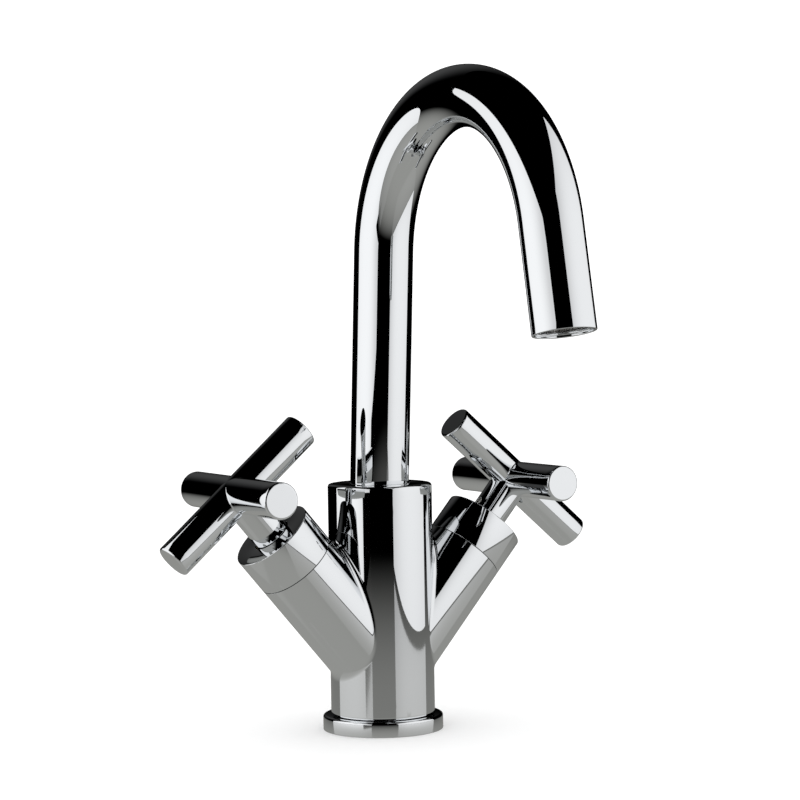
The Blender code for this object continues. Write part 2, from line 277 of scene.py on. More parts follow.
def grow_profile(bm, loop, place, start, profile):
    """Carries a round loop on through (radius, height) points about the Z axis of a place."""
    back = place.inverted()
    radius, height = start
    for next_radius, next_height in profile:
        share = next_radius / radius
        scale = Matrix.Diagonal((share, share, 1.0, 1.0))
        lift = Matrix.Translation((0, 0, next_height)) @ scale @ Matrix.Translation((0, 0, -height))
        loop = grow(bm, loop, place @ lift @ back)
        radius, height = next_radius, next_height
    return loop


def open_loop(bm, test):
    """The boundary edges whose ends both pass a test."""
    return [e for e in bm.edges if e.is_boundary and all(test(v.co) for v in e.verts)]


def combine(obj, bm, operation, place=None):
    """Joins or cuts a shape with a Boolean, and keeps the result as the object's own mesh."""
    tool = add_piece("tool", bm, place)
    modifier = obj.modifiers.new("tool", "BOOLEAN")
    modifier.operation = operation
    modifier.solver = "EXACT"
    modifier.object = tool
    graph = bpy.context.evaluated_depsgraph_get()
    mesh = bpy.data.meshes.new_from_object(obj.evaluated_get(graph))
    obj.modifiers.clear()
    old, obj.data = obj.data, mesh
    bpy.data.meshes.remove(old)
    bpy.data.meshes.remove(tool.data)
    obj.data.name = obj.name
    obj.data.shade_smooth()
    obj.data.set_sharp_from_angle(angle=SHARP)


def eased(count, first, last):
    """Shares from 0 to 1 whose steps grow from about first to last."""
    steps = [first + (last - first) * i / max(count - 1, 1) for i in range(count)]
    shares = [0.0]
    for step in steps:
        shares.append(shares[-1] + step / sum(steps))
    return shares


# ---------------------------------------------------------------- shapes


def body_half(sizes, side):
    """Rings of one half of the body: arm, blend and half of the column.

    The blend is the path of a ball that rolls in the corner between arm and column. Its radius grows
    from the crotch round to the arm's lower side.
    """
    steps = 8 * round(sizes.sides / 8)
    tilt = ARM_TILT
    out = Vector((side * math.cos(tilt), 0, -math.sin(tilt)))
    way = Vector((side * math.sin(tilt), 0, math.cos(tilt)))
    low, high = FLANGE_H + 2 * GAP, BODY_TOP - sizes.rim
    spokes, centres, starts, blends = [], [], [], []
    for i in range(steps):
        turn = math.tau * i / steps
        lower = ((1 + math.cos(turn)) / 2) ** sizes.blend_fade
        blend = sizes.blend + (sizes.blend_low - sizes.blend) * lower
        ball_column, ball_arm = BODY_R + blend, ARM_R + blend
        spoke = out * math.cos(turn) + Vector((0, math.sin(turn), 0))
        depth = math.sqrt(ball_column**2 - (ball_arm * math.sin(turn)) ** 2)
        start = (depth - ball_arm * math.cos(turn) * math.cos(tilt)) / math.sin(tilt)
        spokes.append(spoke)
        starts.append(start)
        blends.append(blend)
        centres.append(ARM_ROOT + way * start + spoke * ball_arm)
    rings = []
    for share in reversed(eased(ARM_ROWS, 0.25, 1.6)):
        rings.append([
            ARM_ROOT + way * (start + (ARM_END - start) * share) + spoke * ARM_R
            for spoke, start in zip(spokes, starts)
        ])
    arm_foot = rings[-1]
    column = [
        Vector((c.x, c.y, 0)).normalized() * BODY_R + Vector((0, 0, c.z)) for c in centres
    ]
    for row in range(1, BLEND_ROWS):
        ring = []
        for centre, blend, on_arm, on_column in zip(centres, blends, arm_foot, column):
            direction = (on_arm - centre).slerp(on_column - centre, row / BLEND_ROWS)
            ring.append(centre + direction.normalized() * blend)
        rings.append(ring)
    # The rest is half of the column laid flat as (angle, height), from the blend out to its border
    flat = [(math.atan2(p.y, side * p.x), p.z) for p in column]
    corners = [(-math.pi / 2, low), (math.pi / 2, low), (math.pi / 2, high), (-math.pi / 2, high)]
    quarter = steps // 4
    border = []
    for i in range(steps):
        part, along = divmod(i + steps // 8, quarter)
        a, b = corners[part % 4], corners[(part + 1) % 4]
        share = along / quarter
        border.append((a[0] + (b[0] - a[0]) * share, a[1] + (b[1] - a[1]) * share))
    for share in eased(COLUMN_ROWS, 0.25, 1.0):
        ring = []
        for near, far in zip(flat, border):
            angle = near[0] + (far[0] - near[0]) * share
            height = near[1] + (far[1] - near[1]) * share
            ring.append(Vector((side * BODY_R * math.cos(angle), BODY_R * math.sin(angle), height)))
        rings.append(ring)
    return rings


def close_top(bm, sizes):
    """The column's top edge, the spout's socket, the swivel's bore and the mixing chamber."""
    edge = sizes.rim
    high = BODY_TOP - edge
    loop = open_loop(bm, lambda p: p.z > high - NEAR)
    socket_r, socket_floor = SPOUT_R + GAP, SPOUT_FOOT - SOCKET_STEP
    profile = arc((BODY_R - edge, high), edge, 0, 90)[1:]
    profile += arc((socket_r + GAP, BODY_TOP - GAP), GAP, 90, 180, 3)
    profile += [(socket_r, socket_floor), (BARREL_R, socket_floor), (BARREL_R, BARREL_FLOOR)]
    profile += [(CHAMBER_R, BARREL_FLOOR), (CHAMBER_R, CHAMBER_FLOOR)]
    loop = grow_profile(bm, loop, Matrix(), (BODY_R, high), profile)
    bmesh.ops.contextual_create(bm, geom=loop)


def close_foot(bm):
    """The column's lower edge and the spigot inside the flange."""
    low = FLANGE_H + 2 * GAP
    loop = open_loop(bm, lambda p: p.z < low + NEAR)
    profile = arc((BODY_R - GAP, low), GAP, 0, -90, 3)[1:]
    profile += [(SPIGOT_R, low - GAP), (SPIGOT_R, 0.0)]
    loop = grow_profile(bm, loop, Matrix(), (BODY_R, low), profile)
    bmesh.ops.contextual_create(bm, geom=loop)


def close_arm(bm, side_name):
    """An arm's rim, the valve's bore and the narrower feed below it."""
    origin, way = arm_axis(side_name)
    loop = open_loop(bm, lambda p: abs((p - origin).dot(way) - ARM_END) < NEAR)
    profile = arc((ARM_R - SEAM_RIM, ARM_END - SEAM_RIM), SEAM_RIM, 0, 90, 3)[1:]
    profile += [(VALVE_R, ARM_END), (VALVE_R, VALVE_FLOOR)]
    profile += [(FEED_R, VALVE_FLOOR), (FEED_R, FEED_FLOOR)]
    loop = grow_profile(bm, loop, arm_matrix(side_name), (ARM_R, ARM_END), profile)
    bmesh.ops.contextual_create(bm, geom=loop)


def drill_body(body):
    """The two inlets and the stud's hole from below, and the screw's hole at the back."""
    for side in SIDES.values():
        at = Matrix.Translation((side * INLET_AT[0], INLET_AT[1], 0))
        combine(body, plug(INLET_R, -CUT_PAST, INLET_TOP), "DIFFERENCE", at)
    at = Matrix.Translation((0, STUD_AT, 0))
    combine(body, plug(STUD_R, -CUT_PAST, STUD_TOP), "DIFFERENCE", at)
    low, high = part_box("spout_retaining_screw")
    at = Matrix.Translation((0, 0, (low.z + high.z) / 2)) @ Matrix.Rotation(-math.pi / 2, 4, "X")
    hole = (high.z - low.z) / 2 + GAP
    combine(body, plug(hole, low.y, BODY_R + CUT_PAST), "DIFFERENCE", at)


def cross_rings(sizes, quarter, steps):
    """Rings of one half bar, from the mitre at the cross's middle out to its end."""
    radius, blend, edge = sizes.bar_radius, sizes.bar_blend, sizes.bar_edge
    turn = Matrix.Rotation(quarter * math.pi / 2, 4, "Z")
    end = BAR_HALF - edge
    angles = [math.tau * i / steps for i in range(steps)]
    starts = [(radius + blend) * abs(math.cos(a)) for a in angles]
    rings = []
    for share in eased(BAR_ROWS, 0.25, 4.0):
        rings.append([
            turn @ Vector((start + (end - start) * share, radius * math.cos(a), radius * math.sin(a)))
            for a, start in zip(angles, starts)
        ])
    tip = arc((radius - edge, end), edge, 0, 90)[1:]
    tip += [(radius - 1.3 * edge, BAR_HALF), (0.0, BAR_HALF)]  # a row close to the edge keeps the end flat
    for ring_radius, height in tip:
        rings.append([
            turn @ Vector((height, ring_radius * math.cos(a), ring_radius * math.sin(a)))
            for a in angles
        ])
    return rings


def cross_corner(sizes, quarter, steps):
    """Rows of the small blend in the corner between two bars."""
    radius, blend = sizes.bar_radius, sizes.bar_blend
    turn = Matrix.Rotation(quarter * math.pi / 2, 4, "Z")
    ball = radius + blend
    rows = []
    for i in range(-steps // 4, steps // 4 + 1):
        a = math.tau * i / steps
        centre = Vector((ball * math.cos(a), ball * math.cos(a), ball * math.sin(a)))
        first = Vector((centre.x, radius * math.cos(a), radius * math.sin(a))) - centre
        last = Vector((radius * math.cos(a), centre.y, radius * math.sin(a))) - centre
        row = []
        for k in range(CORNER_ROWS + 1):
            direction = first.lerp(last, k / CORNER_ROWS).normalized()
            row.append(turn @ (centre + direction * blend))
        rows.append(row)
    return rows


def spout_course(sizes):
    """(knee, way up, bend's centre, way down, outlet's matrix with +Z out of the pipe) of the spout."""
    lean = sizes.lean
    up = Vector((0, -math.sin(lean), math.cos(lean)))
    forward = Vector((0, -math.cos(lean), -math.sin(lean)))
    knee = Vector((0, 0, BODY_TOP + KNEE_UP))
    bend_centre = knee + up * sizes.riser + forward * sizes.bend_radius
    turn = lean + sizes.bend_turn
    down = Vector((0, -math.sin(turn), math.cos(turn)))
    spoke = up * math.sin(sizes.bend_turn) - forward * math.cos(sizes.bend_turn)
    end = bend_centre + spoke * sizes.bend_radius + down * sizes.drop
    return knee, up, bend_centre, down, Matrix.Translation(end) @ Matrix.Rotation(turn, 4, "X")


def spout_bmesh(sizes):
    """The spout's pipe: a circle drawn up the riser, spun round the bend and drawn down."""
    bm = bmesh.new()
    knee, up, bend_centre, down, outlet = spout_course(sizes)
    run = KNEE_R * math.tan(sizes.lean / 2)
    inner = SPOUT_R - sizes.wall
    foot = bmesh.ops.create_circle(
        bm, segments=sizes.sides, radius=SPOUT_R, cap_ends=False,
        matrix=Matrix.Translation((0, 0, SPOUT_FOOT)),
    )["verts"]
    start = list({e for v in foot for e in v.link_edges})
    loop = grow(bm, start, Matrix.Translation((0, 0, knee.z - run - SPOUT_FOOT)))
    loop = spin_on(bm, loop, knee + Vector((0, -KNEE_R, -run)), sizes.lean, KNEE_ROWS)
    length = sizes.riser - run
    for share in STRAIGHT_SHARES:
        loop = grow(bm, loop, Matrix.Translation(up * length * share))
    loop = spin_on(bm, loop, bend_centre, sizes.bend_turn, BEND_ROWS)
    rim = OUTLET_RIM
    for share in STRAIGHT_SHARES:
        loop = grow(bm, loop, Matrix.Translation(down * (sizes.drop - rim) * share))
    profile = arc((SPOUT_R - rim, -rim), rim, 0, 90, 4)[1:]
    profile += arc((inner + rim, -rim), rim, 90, 180, 4)
    profile += [(inner, -OUTLET_DEPTH)]
    loop = grow_profile(bm, loop, outlet, (SPOUT_R, -rim), profile)
    bmesh.ops.contextual_create(bm, geom=loop)
    profile = [(inner, SPOUT_FOOT), (inner, BODY_TOP)]
    loop = grow_profile(bm, start, Matrix(), (SPOUT_R, SPOUT_FOOT), profile)
    bmesh.ops.contextual_create(bm, geom=loop)
    return bm


# ---------------------------------------------------------------- finishes


def linear(hex_colour):
    """Linear red, green and blue from an sRGB hex colour."""
    parts = [(hex_colour >> shift & 0xFF) / 255 for shift in (16, 8, 0)]
    return [p / 12.92 if p <= 0.04045 else ((p + 0.055) / 1.055) ** 2.4 for p in parts]


class MixerFinishes(bpy.types.PropertyGroup):
    """Colours and gloss that a user would change."""

    chrome: FloatVectorProperty(
        name="Chrome", description="Colour of the chrome plate", default=linear(0xE6E8EA),
        subtype="COLOR", min=0.0, max=1.0,
    )
    chrome_roughness: FloatProperty(
        name="Chrome roughness", description="Blur of the chrome's reflections",
        default=0.018, min=0.0, max=1.0, subtype="FACTOR",
    )
    brass: FloatVectorProperty(
        name="Brass", description="Colour of the turned brass", default=linear(0xE3C37E),
        subtype="COLOR", min=0.0, max=1.0,
    )
    steel: FloatVectorProperty(
        name="Steel", description="Colour of the screws and the aerator's mesh",
        default=linear(0xC9C7C3), subtype="COLOR", min=0.0, max=1.0,
    )
    rubber: FloatVectorProperty(
        name="Rubber", description="Colour of the seals", default=linear(0x1C1C1D),
        subtype="COLOR", min=0.0, max=1.0,
    )
    acetal: FloatVectorProperty(
        name="Acetal", description="Colour of the moulded liners", default=linear(0xE9E6DE),
        subtype="COLOR", min=0.0, max=1.0,
    )
    ceramic: FloatVectorProperty(
        name="Ceramic", description="Colour of the valve discs", default=linear(0xF0ECE2),
        subtype="COLOR", min=0.0, max=1.0,
    )


def add_node(tree, kind, values=None, **settings):
    """A node with its socket values and links set: a value that is a socket is linked."""
    node = tree.nodes.new(kind)
    for key, value in settings.items():
        setattr(node, key, value)
    for key, value in (values or {}).items():
        if isinstance(value, bpy.types.NodeSocket):
            tree.links.new(value, node.inputs[key])
        else:
            node.inputs[key].default_value = value
    return node


def per_metre(size):
    """Texture scale whose pattern repeats about once in this length."""
    return 1.0 / size


def blank_material(name):
    """A material and its empty tree."""
    made = bpy.data.materials.new(name)
    made.use_nodes = True
    made.node_tree.nodes.clear()
    return made, made.node_tree


def new_material(name):
    """A material, its tree and its Principled BSDF."""
    made, tree = blank_material(name)
    shader = add_node(tree, "ShaderNodeBsdfPrincipled")
    add_node(tree, "ShaderNodeOutputMaterial", {"Surface": shader.outputs["BSDF"]})
    return made, tree, shader


def worked(name, colour, metallic, roughness, spread, grain, depth, stretch=(1, 1, 1), tint=0.0):
    """A finish whose gloss, shade and surface vary with a fine grain of a real size."""
    made, tree, shader = new_material(name)
    place = add_node(tree, "ShaderNodeTexCoord").outputs["Object"]
    mapping = add_node(tree, "ShaderNodeMapping", {"Vector": place, "Scale": stretch})
    noise = add_node(
        tree, "ShaderNodeTexNoise",
        {"Vector": mapping.outputs["Vector"], "Scale": per_metre(grain), "Detail": 3.0},
    ).outputs["Fac"]
    gloss = add_node(
        tree, "ShaderNodeMapRange",
        {"Value": noise, "From Min": 0.3, "From Max": 0.7,
         "To Min": roughness - spread, "To Max": roughness + spread},
    )
    ramp = add_node(tree, "ShaderNodeValToRGB", {"Fac": noise})
    ramp.color_ramp.elements[0].color = (*[c * (1.0 - tint) for c in colour], 1.0)
    ramp.color_ramp.elements[1].color = (*colour, 1.0)
    bump = add_node(
        tree, "ShaderNodeBump", {"Height": noise, "Distance": depth, "Strength": 1.0}
    )
    tree.links.new(ramp.outputs["Color"], shader.inputs["Base Color"])
    tree.links.new(gloss.outputs["Result"], shader.inputs["Roughness"])
    tree.links.new(bump.outputs["Normal"], shader.inputs["Normal"])
    shader.inputs["Metallic"].default_value = metallic
    made.diffuse_color = (*colour, 1.0)
    return made


def chrome_plate(finishes):
    """Mirror chrome: the eye sees the room in it, with the faintest haze and waviness of hand polishing."""
    return worked(
        "Chrome plate", finishes.chrome, 1.0, finishes.chrome_roughness, 0.005,
        grain=26 * MM, depth=0.004 * MM, tint=0.015,
    )


def turned_brass(finishes):
    """Bare turned brass: fine rings left by the tool, and small changes of tone."""
    return worked(
        "Turned brass", finishes.brass, 1.0, 0.28, 0.08,
        grain=3 * MM, depth=0.01 * MM, stretch=(0.3, 0.3, 6.0), tint=0.15,
    )


def stainless_steel(finishes):
    """Turned stainless steel: satin, slightly streaked."""
    return worked(
        "Stainless steel", finishes.steel, 1.0, 0.30, 0.08,
        grain=1.5 * MM, depth=0.008 * MM, stretch=(1.0, 1.0, 4.0), tint=0.12,
    )


def black_rubber(finishes):
    """Nitrile rubber: dull black with a dusty, finely pitted skin."""
    return worked(
        "Black rubber", finishes.rubber, 0.0, 0.72, 0.10,
        grain=0.5 * MM, depth=0.02 * MM, tint=0.35,
    )


def white_acetal(finishes):
    """Moulded acetal: milky white with a waxy gloss and a faint moulded grain."""
    return worked(
        "White acetal", finishes.acetal, 0.0, 0.42, 0.07,
        grain=1.0 * MM, depth=0.01 * MM, tint=0.05,
    )


def alumina_ceramic(finishes):
    """Lapped alumina: ivory white, smooth, with a fine speckle."""
    return worked(
        "Alumina ceramic", finishes.ceramic, 0.0, 0.22, 0.05,
        grain=0.6 * MM, depth=0.003 * MM, tint=0.06,
    )


FINISHES = {
    "chrome_plate": chrome_plate,
    "turned_brass": turned_brass,
    "stainless_steel": stainless_steel,
    "black_rubber": black_rubber,
    "white_acetal": white_acetal,
    "alumina_ceramic": alumina_ceramic,
}


def paint(obj, slot, finishes):
    """Gives an object its slot's finish; each finish is made once."""
    label = f"finish:{slot}"
    made = next((m for m in bpy.data.materials if m.get("slot") == label), None)
    if made is None:
        made = FINISHES[slot](finishes)
        made["slot"] = label
    obj.data.materials.clear()
    obj.data.materials.append(made)


def stand_for(obj, slot, body, *nodes):
    """Finishes a piece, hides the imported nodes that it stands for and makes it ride."""
    paint(obj, slot, bpy.context.scene.mixer_finishes)
    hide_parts(*nodes)
    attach(obj, body)


# ---------------------------------------------------------------- operators


class MIXER_OT_body(bpy.types.Operator):
    """Make the Y-shaped body with its blended arms, socket, bores and holes"""

    bl_idname = "mixer.body"
    bl_label = "Body"

    def execute(self, context):
        sizes = context.scene.mixer_sizes
        bm = bmesh.new()
        for side in SIDES.values():
            skin(bm, body_half(sizes, side))
        bmesh.ops.remove_doubles(bm, verts=bm.verts, dist=2e-6)
        bmesh.ops.recalc_face_normals(bm, faces=bm.faces)
        close_top(bm, sizes)
        close_foot(bm)
        for side_name in SIDES:
            close_arm(bm, side_name)
        body = add_piece("Body", bm)
        drill_body(body)
        stand_for(body, "chrome_plate", "body", "body_casting")
        return {"FINISHED"}


class MIXER_OT_base(bpy.types.Operator):
    """Make the loose round flange that covers the deck hole"""

    bl_idname = "mixer.base"
    bl_label = "Base flange"

    def execute(self, context):
        sizes = context.scene.mixer_sizes
        inner, edge = SPIGOT_R + GAP, sizes.rim
        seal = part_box("base_seal")[1]
        groove_in, groove_out = seal.x - SEAL_WIDTH - 2 * GAP, seal.x + GAP
        groove_top = seal.z + GAP
        profile = [(inner, 0.0), (groove_in, 0.0), (groove_in, groove_top)]
        profile += [(groove_out, groove_top), (groove_out, 0.0)]
        profile += arc((FLANGE_R - GAP, GAP), GAP, -90, 0, 3)
        profile += arc((FLANGE_R - edge, FLANGE_H - edge), edge, 0, 90)
        profile += [(inner, FLANGE_H)]
        flange = add_piece("Base_flange", turned(profile, sizes.sides))
        stand_for(flange, "chrome_plate", "body", "base_flange")
        return {"FINISHED"}


class MIXER_OT_shrouds(bpy.types.Operator):
    """Make the two round shrouds that close the arms over the valves"""

    bl_idname = "mixer.shrouds"
    bl_label = "Valve shrouds"

    def execute(self, context):
        sizes = context.scene.mixer_sizes
        rim, edge = SEAM_RIM, 0.35 * MM
        hole = sizes.neck_radius + 0.6 * MM
        for side_name in SIDES:
            profile = [(VALVE_R, SHROUD_START)]
            profile += arc((ARM_R - rim, SHROUD_START + rim), rim, -90, 0, 3)
            profile += arc((ARM_R - edge, SHROUD_END - edge), edge, 0, 90)
            profile += arc((hole + rim, SHROUD_END - rim), rim, 90, 180, 3)
            profile += [(hole, SHROUD_END - SHROUD_LIP), (VALVE_R, SHROUD_END - SHROUD_LIP)]
            made = turned(profile, sizes.sides)
            shroud = add_piece(f"{side_name.title()}_valve_shroud", made, arm_matrix(side_name))
            stand_for(shroud, "chrome_plate", "body", f"{side_name}_valve_shroud")
        return {"FINISHED"}


class MIXER_OT_handles(bpy.types.Operator):
    """Make the two cross handles: mitred round bars on a neck"""

    bl_idname = "mixer.handles"
    bl_label = "Cross handles"

    def execute(self, context):
        sizes = context.scene.mixer_sizes
        cross_at = CROSS_TOP - sizes.bar_radius
        neck_foot = NECK_START - cross_at
        neck_row = -9 * MM  # just below the bars
        for side_name in SIDES:
            bm = bmesh.new()
            for quarter in range(4):
                skin(bm, cross_rings(sizes, quarter, BAR_SIDES))
                skin(bm, cross_corner(sizes, quarter, BAR_SIDES), closed=False)
            cross = add_piece(f"{side_name.title()}_cross_handle", bm)
            neck = turned(
                [(0.0, neck_foot), (sizes.neck_radius, neck_foot),
                 (sizes.neck_radius, neck_row), (sizes.neck_radius, 0.0), (0.0, 0.0)], 128,
            )
            combine(cross, neck, "UNION")
            low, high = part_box(f"{side_name}_handle_screw")
            origin, way = arm_axis(side_name)
            grub_at = ((low + high) / 2 - origin).dot(way) - cross_at
            well = plug(SCREW_WELL_R, neck_foot - MM, grub_at + SCREW_WELL_PAST, 64)
            combine(cross, well, "DIFFERENCE")
            back = Matrix.Translation((0, 0, grub_at)) @ Matrix.Rotation(-math.pi / 2, 4, "X")
            combine(cross, plug(GRUB_R, 0.0, sizes.neck_radius + MM), "DIFFERENCE", back)
            place = arm_matrix(side_name) @ Matrix.Translation((0, 0, cross_at))
            cross.data.transform(place)
            stand_for(cross, "chrome_plate", f"{side_name}_handle", f"{side_name}_cross_handle")
        return {"FINISHED"}


class MIXER_OT_spout(bpy.types.Operator):
    """Make the bent pipe of the swivelling spout"""

    bl_idname = "mixer.spout"
    bl_label = "Spout"

    def execute(self, context):
        spout = add_piece("Spout", spout_bmesh(context.scene.mixer_sizes))
        stand_for(spout, "chrome_plate", "spout", "spout_tube")
        return {"FINISHED"}


class MIXER_OT_aerator(bpy.types.Operator):
    """Make the aerator's ring and its honeycomb at the outlet"""

    bl_idname = "mixer.aerator"
    bl_label = "Aerator"

    def execute(self, context):
        *_, outlet = spout_course(context.scene.mixer_sizes)
        inward = outlet @ Matrix.Rotation(math.pi, 4, "X")
        outer, wall, lip, edge = 11.1 * MM, 9.7 * MM, 9.0 * MM, 0.25 * MM
        low, high = 0.8 * MM, 10 * MM
        profile = arc((lip + edge, low + edge), edge, 180, 270, 3)
        profile += arc((outer - edge, low + edge), edge, 270, 360, 3)
        profile += [(outer, high), (wall, high), (wall, low + MM), (lip, low + MM)]
        ring = add_piece("Aerator_ring", turned(profile, 96), inward)
        stand_for(ring, "chrome_plate", "spout", "aerator_housing")
        pitch, bar = 1.5 * MM, 0.22 * MM
        depth, thickness = 2.2 * MM, 0.8 * MM
        bm = bmesh.new()
        reach_out = math.ceil(wall / pitch)
        for row in range(-reach_out, reach_out + 1):
            for column in range(-reach_out - 1, reach_out + 2):
                x = (column + 0.5 * (row % 2)) * pitch
                y = row * pitch * math.sqrt(3) / 2
                if math.hypot(x, y) > wall - 0.6 * pitch:
                    continue
                turn = Matrix.Translation((x, y, depth)) @ Matrix.Rotation(math.pi / 6, 4, "Z")
                bmesh.ops.create_circle(
                    bm, cap_ends=True, segments=6, radius=pitch / math.sqrt(3), matrix=turn
                )
        bmesh.ops.remove_doubles(bm, verts=bm.verts, dist=1e-5)
        cells = list(bm.faces)
        bmesh.ops.inset_individual(bm, faces=cells, thickness=bar)
        bmesh.ops.delete(bm, geom=cells, context="FACES")
        made = bmesh.ops.extrude_face_region(bm, geom=list(bm.faces))["geom"]
        moved = [g for g in made if isinstance(g, bmesh.types.BMVert)]
        bmesh.ops.translate(bm, vec=(0, 0, thickness), verts=moved)
        honeycomb = add_piece("Aerator_honeycomb", bm, inward)
        stand_for(honeycomb, "stainless_steel", "spout", "aerator_screen")
        return {"FINISHED"}


class MIXER_OT_inner(bpy.types.Operator):
    """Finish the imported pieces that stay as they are: valves, seals, liners and screws"""

    bl_idname = "mixer.inner"
    bl_label = "Inner pieces"

    def execute(self, context):
        slots = {part["node"]: part["material_slot"] for part in frame["record"]["subparts"]}
        for name, node in frame["nodes"].items():
            if not node.hide_render:
                paint(node, slots[name], context.scene.mixer_finishes)
        return {"FINISHED"}


# ---------------------------------------------------------------- stage


class MixerStage(bpy.types.PropertyGroup):
    """The camera and the plain studio."""

    azimuth: FloatProperty(
        name="Azimuth", description="Where the camera stands around the mixer",
        default=math.radians(-29.428), subtype="ANGLE",
    )
    distance: FloatProperty(
        name="Distance", description="From the body's axis to the camera", default=1.09064, unit="LENGTH"
    )
    height: FloatProperty(
        name="Height", description="Camera above the deck", default=0.19117, unit="LENGTH"
    )
    aim: FloatProperty(
        name="Aim", description="Turn of the camera away from the axis",
        default=math.radians(-0.493), subtype="ANGLE",
    )
    pitch: FloatProperty(
        name="Pitch", description="Tilt of the camera up or down",
        default=math.radians(-2.568), subtype="ANGLE",
    )
    roll: FloatProperty(
        name="Roll", description="Roll of the camera", default=math.radians(-0.881), subtype="ANGLE"
    )
    lens: FloatProperty(
        name="Lens", description="Focal length in millimetres", default=113.81, unit="CAMERA"
    )
    room: FloatProperty(
        name="Room", description="Brightness of the white room", default=1.35, min=0.0
    )
    boxes: FloatProperty(
        name="Softboxes", description="Brightness of the two softboxes", default=1.15, min=0.0
    )
    deck: FloatProperty(
        name="Deck", description="Brightness of the deck in the chrome", default=0.36, min=0.0
    )


# Each softbox: name, side (1 left), reach in front, reach behind, top, share of the brightness
SOFTBOXES = (("Left", 1, 0.74, 0.095, 0.41, 1.0), ("Right", -1, 0.56, 0.10, 0.57, 0.9))
SOFTBOX_ASIDE = 0.30
SOFTBOX_GAP = 0.005  # above the deck
SOFTBOX_EDGE = 0.68  # brightness far from the middle, as a share
SOFTBOX_FOCUS = (0.12, 0.2)  # the brightest spot: how far in front, how high
SOFTBOX_FADE = (0.05, 0.55)  # distances from that spot between which the light falls off
# The deck's reflection is painted by a glowing card: the level of its colour, and the distances over which its
# painted glow fades
DECK_REFLECTION_WHITE = 0.57  # linear level of the deck's own colour
DECK_REFLECTION_FADE = (0.12, 0.78)
FLAG_ASIDE = 0.29
FLAG_AHEAD = 0.575
FLAG_SIZE = (0.39, 0.07)
PANEL_TURN = math.radians(165)  # from the camera's side
PANEL_AWAY = 1.3
PANEL_UP = 0.8
PANEL_SIZE = (2.0, 1.4)
PANEL_LIGHT = 0.06
PANEL_FADE = (0.1, 0.9)


def studio_camera(stage):
    """A long lens at the height of the handles."""
    azimuth, distance = stage.azimuth, stage.distance
    place = Vector((math.sin(azimuth) * distance, -math.cos(azimuth) * distance, stage.height))
    yaw = azimuth + stage.aim
    ahead = Vector((-math.sin(yaw), math.cos(yaw), math.tan(stage.pitch))).normalized()
    right = ahead.cross(Vector((0, 0, 1))).normalized()
    level = Matrix((right, right.cross(ahead), -ahead)).transposed().to_4x4()
    camera = bpy.data.objects.new("Camera", bpy.data.cameras.new("Camera"))
    camera.data.lens = stage.lens
    camera.data.sensor_width = 36.0
    camera.data.clip_start = 0.05
    camera.data.clip_end = 50.0
    camera.matrix_world = Matrix.Translation(place) @ level @ Matrix.Rotation(stage.roll, 4, "Z")
    bpy.context.scene.collection.objects.link(camera)
    bpy.context.scene.camera = camera


def glow(name, colour, strength, centre, fade, least):
    """Light that falls off from one distance of a centre to another."""
    made, tree = blank_material(name)
    place = add_node(tree, "ShaderNodeTexCoord").outputs["Object"]
    away = add_node(
        tree, "ShaderNodeVectorMath", {0: place, 1: centre}, operation="DISTANCE"
    ).outputs["Value"]
    level = add_node(
        tree, "ShaderNodeMapRange",
        {"Value": away, "From Min": fade[0], "From Max": fade[1], "To Min": strength, "To Max": least},
        interpolation_type="SMOOTHSTEP",
    )
    shader = add_node(
        tree, "ShaderNodeEmission", {"Color": (*colour, 1.0), "Strength": level.outputs["Result"]}
    )
    output = add_node(tree, "ShaderNodeOutputMaterial", {"Surface": shader.outputs["Emission"]})
    return made, tree, shader, output


def card(name, centre, facing, width, height, material):
    """An upright or level rectangle that only the chrome sees."""
    bm = bmesh.new()
    place = Matrix.Translation(centre) @ Vector(facing).to_track_quat("Z", "Y").to_matrix().to_4x4()
    size = Matrix.Diagonal((width / 2, height / 2, 1.0, 1.0))
    bmesh.ops.create_grid(bm, x_segments=1, y_segments=1, size=1.0, matrix=place @ size)
    mesh = bpy.data.meshes.new(name)
    bm.to_mesh(mesh)
    bm.free()
    mesh.materials.append(material)
    obj = bpy.data.objects.new(name, mesh)
    bpy.context.scene.collection.objects.link(obj)
    obj.visible_camera = False
    obj.visible_diffuse = False
    obj.visible_shadow = False
    return obj


def white_room(scene, strength):
    """A white room that the camera and the floor see, and the chrome doesn't."""
    world = bpy.data.worlds.new("White room")
    scene.world = world
    world.use_nodes = True
    background = world.node_tree.nodes["Background"]
    background.inputs["Color"].default_value = (1.0, 1.0, 1.0, 1.0)
    background.inputs["Strength"].default_value = strength
    world.cycles_visibility.glossy = False


def pale_floor():
    """A plain, faintly speckled floor, which the chrome doesn't see."""
    made, tree, shader = new_material("Pale floor")
    place = add_node(tree, "ShaderNodeTexCoord").outputs["Object"]
    speckle = add_node(
        tree, "ShaderNodeTexNoise", {"Vector": place, "Scale": per_metre(4 * MM)}
    ).outputs["Fac"]
    tone = add_node(
        tree, "ShaderNodeMapRange", {"Value": speckle, "To Min": 0.90, "To Max": 0.92}
    ).outputs["Result"]
    tree.links.new(tone, shader.inputs["Base Color"])
    shader.inputs["Roughness"].default_value = 0.9
    shader.inputs["Specular IOR Level"].default_value = 0.0
    floor = card("Floor", (0, 0, 0), (0, 0, 1), 60, 60, made)
    floor.visible_camera = True
    floor.visible_diffuse = True
    floor.visible_glossy = False


